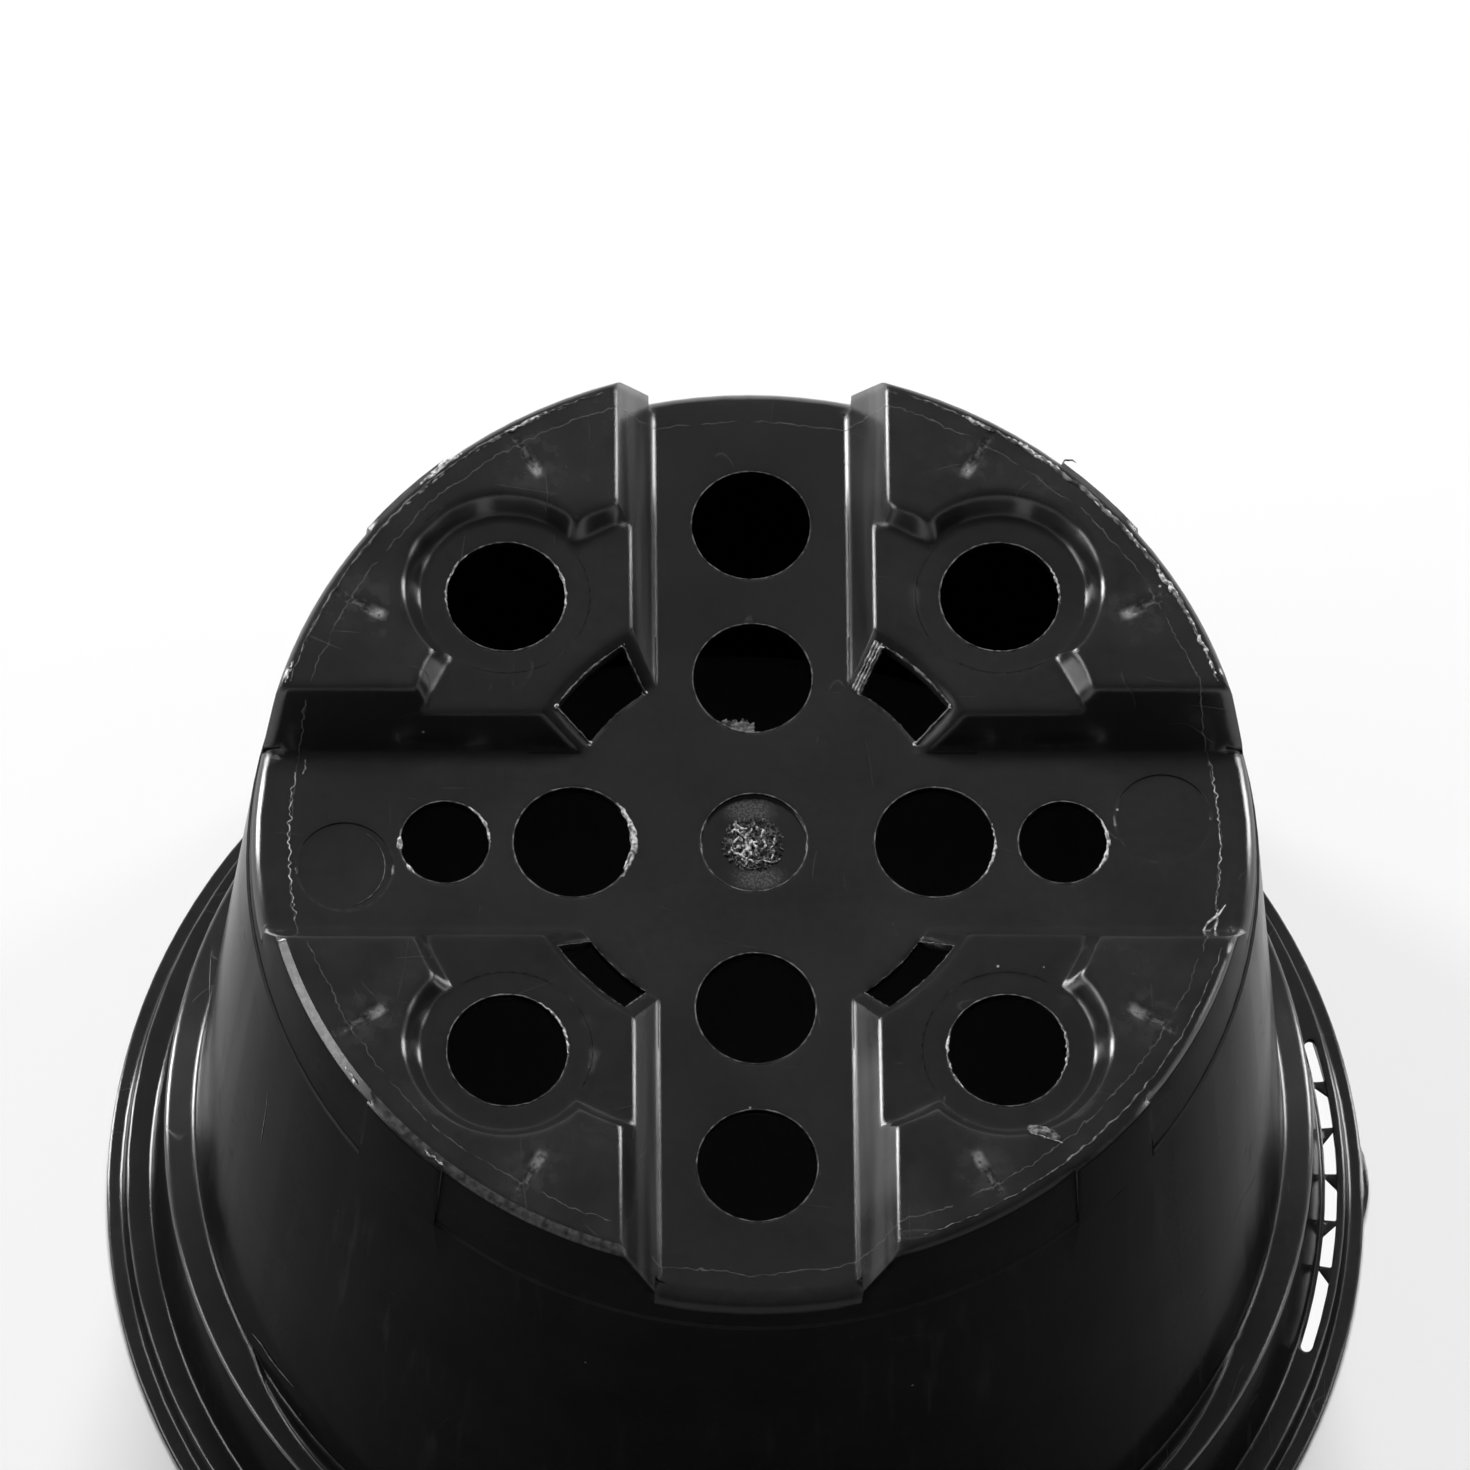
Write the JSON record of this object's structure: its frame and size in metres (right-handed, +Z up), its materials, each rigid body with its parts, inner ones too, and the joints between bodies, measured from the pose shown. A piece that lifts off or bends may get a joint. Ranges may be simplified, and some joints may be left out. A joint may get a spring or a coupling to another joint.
{
  "type": "plant pot",
  "caption": "Round tapered plastic plant pot with a stepped rim, a cross-channelled base with drainage holes and a label slot in its rim.",
  "frame": {"origin": "centre of the rim, on the surface that the upturned pot stands on", "axes": "+Z up along the pot's axis, from the rim to the base: the pot is modelled upturned, base up, as the picture shows it. The channels of the base run along X and Y, and the label slot is on the +X side of the rim. Turned by 180 degrees about X or Y, it stands on its feet as in use."},
  "size_m": [0.1004, 0.1, 0.0746],
  "materials": {
    "black_plastic": "glossy black injection-moulded polypropylene, lightly streaked on the wall"
  },
  "bodies": {
    "root": {"pot": "black_plastic"}
  },
  "joints": []
}
